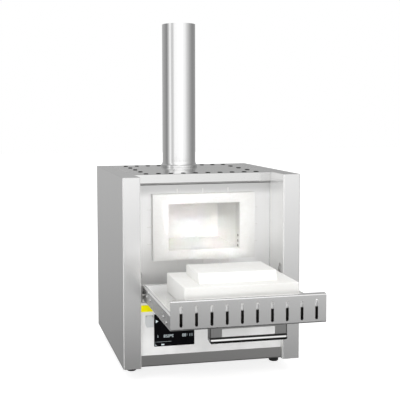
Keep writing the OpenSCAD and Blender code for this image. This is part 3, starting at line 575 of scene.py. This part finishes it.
flangeSpots = []
for middle, low, high in middles("door_screws"):
    side = 1 if middle.x > 0 else -1
    flangeSpots.append((Vector((low.x if side > 0 else high.x, middle.y, middle.z)), (side, 0, 0)))
flangeHead = screwHead("flangeHead", **screwLook["flange"])
newObject("doorFlangeScrews", setOutParts("doorFlangeScrews", flangeHead, flangeSpots, "screwSteel"),
          "door", None, "zinc_steel", "door_screws")

rearSpots = []
for middle, low, high in middles("rear_screws"):
    rearSpots.append((Vector((middle.x, low.y, middle.z)), (0, 1, 0)))
rearHead = screwHead("rearHead", **screwLook["rear"])
newObject("rearPanelScrews", setOutParts("rearPanelScrews", rearHead, rearSpots, "plainSteel"),
          "housing", None, "zinc_steel", "rear_screws")
print("screws:", len(flangeSpots) + len(rearSpots))


# fibre pieces with softened edges

fibreLook = {"round": 0.0016, "steps": 3, "flatAngle": 0.02, "roundAngle": 0.6, "sharpAngle": 0.7}


def softFibre(node, name, body, finishName="fibre"):
    shape = nodes[node].data.copy()
    mesh = bmesh.new()
    mesh.from_mesh(shape)
    bmesh.ops.remove_doubles(mesh, verts=mesh.verts, dist=weldDistance)
    bmesh.ops.dissolve_limit(mesh, angle_limit=fibreLook["flatAngle"], verts=mesh.verts,
                             edges=mesh.edges)
    mesh.to_mesh(shape)
    mesh.free()
    thing = addToScene(bpy.data.objects.new(name, shape))
    bevel = thing.modifiers.new("round", "BEVEL")
    bevel.width, bevel.segments = fibreLook["round"], fibreLook["steps"]
    bevel.limit_method, bevel.angle_limit = "ANGLE", fibreLook["roundAngle"]
    rounded = plainMesh(thing)
    for face in rounded.polygons:
        face.use_smooth = True
    rounded.set_sharp_from_angle(angle=fibreLook["sharpAngle"])
    return newObject(name, rounded, body, finishName, "ceramic_fibre", node)


softFibre("door_slab", "fibreSlab", "door")
softFibre("door_plug", "fibrePlug", "door")
softFibre("fibre_collar", "fibreCollar", "housing", "collarFibreShaded")
print("fibre softened")


# dark eyelets round the air ports, painted shade that stands in for the dark holes: three behind the
# collar and a row above the floor, both sides

eyeletLook = {"outer": 0.0030, "inner": 0.0012, "proud": 0.0004, "frontIn": 0.013,
              "frontUp": (0.0145, 0.025, 0.037), "plateIn": 0.018, "platePitch": 0.026,
              "plateUp": 0.004, "plateCount": 4}


def ringPart(name, outer, inner, height, straight=0.0, sides=20):  # round, or long with straight sides
    half = sides // 2
    if straight:
        turns = [(i, 1) for i in range(half + 1)] + [(i, -1) for i in range(half, sides + 1)]
    else:
        turns = [(i, 0) for i in range(sides)]
    count = len(turns)
    points, faces = [], []
    for reach, up in ((outer, 0), (outer, height), (inner, height), (inner, 0)):
        for i, end in turns:
            angle = 2 * math.pi * i / sides
            points.append((reach * math.cos(angle), reach * math.sin(angle) + end * straight / 2, up))
    for ring in range(4):
        this, other = ring * count, (ring + 1) % 4 * count
        for i in range(count):
            j = (i + 1) % count
            faces.append((this + i, this + j, other + j, other + i))
    return meshOf(name, points, faces)


def makeEyelets():
    look = eyeletLook
    plateX, plateY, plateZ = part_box("heating_plate_right")[0]
    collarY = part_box("fibre_collar")[0][1]
    places = [(collarY + look["frontIn"], plateZ + up) for up in look["frontUp"]]
    for i in range(look["plateCount"]):
        places.append((plateY + look["plateIn"] + i * look["platePitch"], plateZ + look["plateUp"]))
    spots = [(Vector((side * plateX, y, z)), (-side, 0, 0)) for side in (-1, 1) for y, z in places]
    ring = ringPart("eyelet", look["outer"], look["inner"], look["proud"])
    mesh = setOutParts("airEyelets", ring, spots, "portShade")
    newObject("airEyelets", mesh, "housing", None, "ceramic_fibre")
    return len(spots)


print("eyelets set:", makeEyelets())


# black edging round the vent slots of the top cover, painted shade: a dark rim that stands in for the
# shade inside the slots

ventLook = {"edge": 0.0007, "lap": 0.0001, "proud": 0.0009, "widest": 0.012, "wallDepth": 0.002,
            "wallTilt": 0.3}


def makeVentShadeEdges():
    low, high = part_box("top_cover")

    def wall(face):  # an upright face of a hole, clear of the cover's own edges
        middle, margin = face.calc_center_median(), coverLook["margin"]
        inside = abs(middle.x) < high[0] - margin and middle.y > low[1] + margin
        inside = inside and middle.y < high[1] - coverLook["rearMargin"]
        upright = abs(face.normal.z) < ventLook["wallTilt"]
        return inside and upright and middle.z > high[2] - ventLook["wallDepth"]

    vents = [(middle, ventHigh - ventLow) for middle, ventLow, ventHigh in middles("top_cover", wall)]
    vents = [(middle, size) for middle, size in vents if size.x < ventLook["widest"]]
    spots = [(Vector((middle.x, middle.y, high[2])), (0, 0, 1)) for middle, size in vents]
    size = vents[0][1]
    outer, inner = size.x / 2 + ventLook["edge"], size.x / 2 - ventLook["lap"]
    edge = ringPart("ventShadeEdge", outer, inner, ventLook["proud"], size.y - size.x)
    mesh = setOutParts("ventEdging", edge, spots, "rubber")
    newObject("ventEdging", mesh, "housing", None, "display_black")
    return len(spots)


print("vents edged:", makeVentShadeEdges())


# figures on the display: bars of light for digits, a play mark, a rule and tabs

displayLook = {
    "colours": ((0.75, 0.92, 0.95), (0.9, 0.97, 1.0)), "glow": 0.75, "flicker": 900,
    "base": (0.02, 0.02, 0.02, 1), "rough": 0.5,
    "digitWidth": 0.0032, "digitHeight": 0.0056, "bar": 0.0007, "gap": 0.0013,
    "colon": (0.45, 1.4), "proud": 0.00012, "sunk": 0.0001,
    "figures": [("850oC", 0.0205, 0.0185), ("00:11", 0.0605, 0.0185), ("1", 0.005, 0.0185)],
    "marks": [(0.0015, 0.0022, 0.0058, 0.0028), (0.0015, 0.0028, 0.0021, 0.0062),
              (0.0150, 0.0022, 0.0215, 0.0050), (0.0015, 0.0095, 0.0360, 0.0098)],
    "play": [(0.0035, 0.0500), (0.0035, 0.0570), (0.0090, 0.0535)]}
segments = {"0": "abcdef", "1": "bc", "5": "acdfg", "8": "abcdefg", "C": "adef", "o": "abfg",
            ":": "xy"}


def displayLight(name):
    material, graph = newMaterial(name)
    flicker = graph.noise(displayLook["flicker"], 1)
    surface(graph, {
        "Base Color": displayLook["base"],
        "Emission Color": graph.mix(flicker, *displayLook["colours"]),
        "Emission Strength": displayLook["glow"],
        "Roughness": displayLook["rough"]})
    return material


materials["displayLight"] = displayLight("displayLight")


def figureBars(text, left, foot):  # x and z corners of each bar, from the glass's lower left
    wide, tall, bar = (displayLook[k] for k in ("digitWidth", "digitHeight", "bar"))
    half, dotLeft, dotRight = tall / 2, wide / 2 - bar / 2, wide / 2 + bar / 2
    lowDot, highDot = (half * k for k in displayLook["colon"])
    places = {
        "a": (0, tall - bar, wide, tall), "b": (wide - bar, half, wide, tall),
        "c": (wide - bar, 0, wide, half), "d": (0, 0, wide, bar), "e": (0, 0, bar, half),
        "f": (0, half, bar, tall), "g": (0, half - bar / 2, wide, half + bar / 2),
        "x": (dotLeft, lowDot, dotRight, lowDot + bar),
        "y": (dotLeft, highDot, dotRight, highDot + bar)}
    bars = []
    for letter in text:
        for key in segments[letter]:
            x0, z0, x1, z1 = places[key]
            bars.append((left + x0, foot + z0, left + x1, foot + z1))
        left += wide + displayLook["gap"]
    return bars


def makeFigures():
    glassX, glassY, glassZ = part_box("display_module")[0]
    front, rear = glassY - displayLook["proud"], glassY + displayLook["sunk"]
    bars = [bar for figure in displayLook["figures"] for bar in figureBars(*figure)]
    points, faces = [], []
    for x0, z0, x1, z1 in bars + displayLook["marks"]:
        faces += boxFaces(len(points))
        points += boxCorners((glassX + x0, front, glassZ + z0), (glassX + x1, rear, glassZ + z1))
    a, b, c, d, e, f = range(len(points), len(points) + 6)
    for y in (front, rear):
        points += [(glassX + x, y, glassZ + z) for x, z in displayLook["play"]]
    faces += [(a, c, b), (d, e, f), (a, b, e, d), (b, c, f, e), (c, a, d, f)]
    mesh = meshOf("displayFigures", points, faces)
    newObject("displayFigures", mesh, "housing", "displayLight", "display_black")


makeFigures()
print("display drawn")


# the floor: white paper for the camera, a mid grey for the light that it throws back

stageLook = {"half": 9.0, "floorTone": 0.55, "floorGlow": 0.78, "bounceTone": 0.75}


def makeFloor():
    half, tone, bounce = (stageLook[k] for k in ("half", "floorTone", "bounceTone"))
    corners = [(-half, -half, 0), (half, -half, 0), (half, half, 0), (-half, half, 0)]
    mesh = meshOf("floor", corners, [(0, 1, 2, 3)])
    floor = addToScene(bpy.data.objects.new("floor", mesh))
    material, graph = newMaterial("floorPaper")
    ray = graph.add("ShaderNodeLightPath")
    paper = graph.add("ShaderNodeBsdfDiffuse", sockets={"Color": (tone, tone, tone, 1)})
    glow = graph.add("ShaderNodeEmission", sockets={
        "Color": (1, 1, 1, 1), "Strength": stageLook["floorGlow"]})
    lit = graph.add("ShaderNodeAddShader", sockets={0: paper["BSDF"], 1: glow["Emission"]})
    plain = graph.add("ShaderNodeBsdfDiffuse", sockets={"Color": (bounce, bounce, bounce, 1)})
    shown = (ray["Is Camera Ray"] + ray["Is Transmission Ray"]).clamped()
    mixed = graph.add("ShaderNodeMixShader", sockets={0: shown, 1: plain["BSDF"], 2: lit["Shader"]})
    graph.add("ShaderNodeOutputMaterial", sockets={"Surface": mixed["Shader"]})
    mesh.materials.append(material)
    floor.visible_glossy = False


makeFloor()


# the world: white for the camera, an even light, and a studio that only the steel reflects

skyLook = {
    "lightLevel": 0.80, "brightest": 1.18,
    "horizon": [  # the rear at 0 and 1, the left at 0.25, the front at 0.5
        (0.0, 0.50), (0.08, 0.43), (0.17, 0.31), (0.205, 0.22), (0.25, 0.52), (0.283, 1.0),
        (0.30, 1.0), (0.32, 0.60), (0.355, 0.66), (0.375, 1.05), (0.53, 1.18), (0.56, 1.0),
        (0.585, 0.98), (0.62, 0.72), (0.70, 0.38), (0.76, 0.26), (0.85, 0.30), (1.0, 0.50)],
    "lowest": -0.40, "rise": 0.32,
    "ground": [  # from the lowest height up
        (0.0, 0.01), (0.16, 0.03), (0.30, 0.04), (0.42, 0.26), (0.66, 0.66), (0.78, 0.78), (1.0, 1.0)],
    "reach": [  # how far the ground darkens each bearing, most of all in front
        (0.0, 0.45), (0.25, 0.60), (0.45, 1.0), (0.54, 1.0), (0.58, 0.85), (0.75, 0.60), (1.0, 0.45)]}


def makeWorld():
    world = bpy.data.worlds.new("studio")
    bpy.context.scene.world = world
    world.use_nodes = True
    sky = Graph(world.node_tree)
    ray = sky.add("ShaderNodeLightPath")
    across, along, up = sky.axes(sky.add("ShaderNodeTexCoord")["Generated"])
    bearing = across.turnFrom(along * -1) / (2 * math.pi) + 0.5
    studio = sky.greyRamp(skyLook["horizon"], bearing, skyLook["brightest"]) * skyLook["brightest"]
    depths = sky.greyRamp(skyLook["ground"], (up - skyLook["lowest"]) / skyLook["rise"])
    darkening = sky.greyRamp(skyLook["reach"], bearing)
    seen = studio * (1 - (1 - depths) * darkening)
    white = (ray["Is Camera Ray"] + ray["Is Transmission Ray"]).clamped()
    glossy = ray["Is Glossy Ray"]
    level = white + (1 - white) * (glossy * seen + (1 - glossy) * skyLook["lightLevel"])
    background = sky.add("ShaderNodeBackground", sockets={"Color": (1, 1, 1, 1), "Strength": level})
    sky.add("ShaderNodeOutputWorld", sockets={"Surface": background["Background"]})


makeWorld()


# soft lamps for the whole, and narrow beams that reach into the chamber, its right wall and its floor

lamps = {
    "keyLamp": {"at": (-1.1, -1.5, 1.9), "size": (1.2, 1.2), "power": 6},
    "frontLamp": {"at": (-0.3, -2.2, 0.55), "size": (0.9, 0.7), "power": 14.5},
    "topLamp": {"at": (0.1, 0.2, 2.4), "size": (1.6, 1.6), "power": 3},
    "mouthBeam": {"at": (-0.42, -1.9, 0.62), "size": (0.160, 0.105), "power": 0.019, "spread": 2},
    "wallBeam": {"at": (-1.05, -1.6, 0.80), "size": (0.120, 0.100), "power": 0.021, "spread": 2},
    "floorBeam": {"at": (-0.25, -1.5, 1.35), "size": (0.145, 0.080), "power": 0.021, "spread": 2}}
wallLow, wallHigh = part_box("heating_plate_right")
mouth = Vector((0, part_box("fibre_collar")[0][1], (wallLow[2] + wallHigh[2]) / 2))
bodyMiddle = Vector((0, 0, 0.25))

for name, lamp in lamps.items():
    data = bpy.data.lights.new(name, "AREA")
    data.shape = "RECTANGLE"
    data.size, data.size_y = lamp["size"]
    data.energy = lamp["power"]
    target = bodyMiddle
    if "spread" in lamp:
        data.spread, target = math.radians(lamp["spread"]), mouth
    shine = addToScene(bpy.data.objects.new(name, data))
    shine.visible_glossy = False
    shine.location = lamp["at"]
    shine.rotation_euler = (target - Vector(lamp["at"])).to_track_quat("-Z", "Y").to_euler()


# the camera: focal length and picture middle in pixels of a square picture

shot = {"at": (-0.46473, -1.65766, 0.55938), "turn": (86.01721, 0.35323, -11.27261),
        "picture": 400, "focal": 794.024, "middle": (143.064, 166.949), "sensor": 36,
        "clip": (0.05, 40)}

cameraData = bpy.data.cameras.new("camera")
cameraData.sensor_width = shot["sensor"]
cameraData.lens = shot["focal"] / shot["picture"] * shot["sensor"]
cameraData.shift_x = (shot["picture"] / 2 - shot["middle"][0]) / shot["picture"]
cameraData.shift_y = (shot["middle"][1] - shot["picture"] / 2) / shot["picture"]
cameraData.clip_start, cameraData.clip_end = shot["clip"]
camera = addToScene(bpy.data.objects.new("camera", cameraData))
camera.location = shot["at"]
camera.rotation_euler = Euler([math.radians(a) for a in shot["turn"]])
bpy.context.scene.camera = camera
bpy.context.scene.view_settings.view_transform = "Standard"
print("floor, lamps and camera placed")
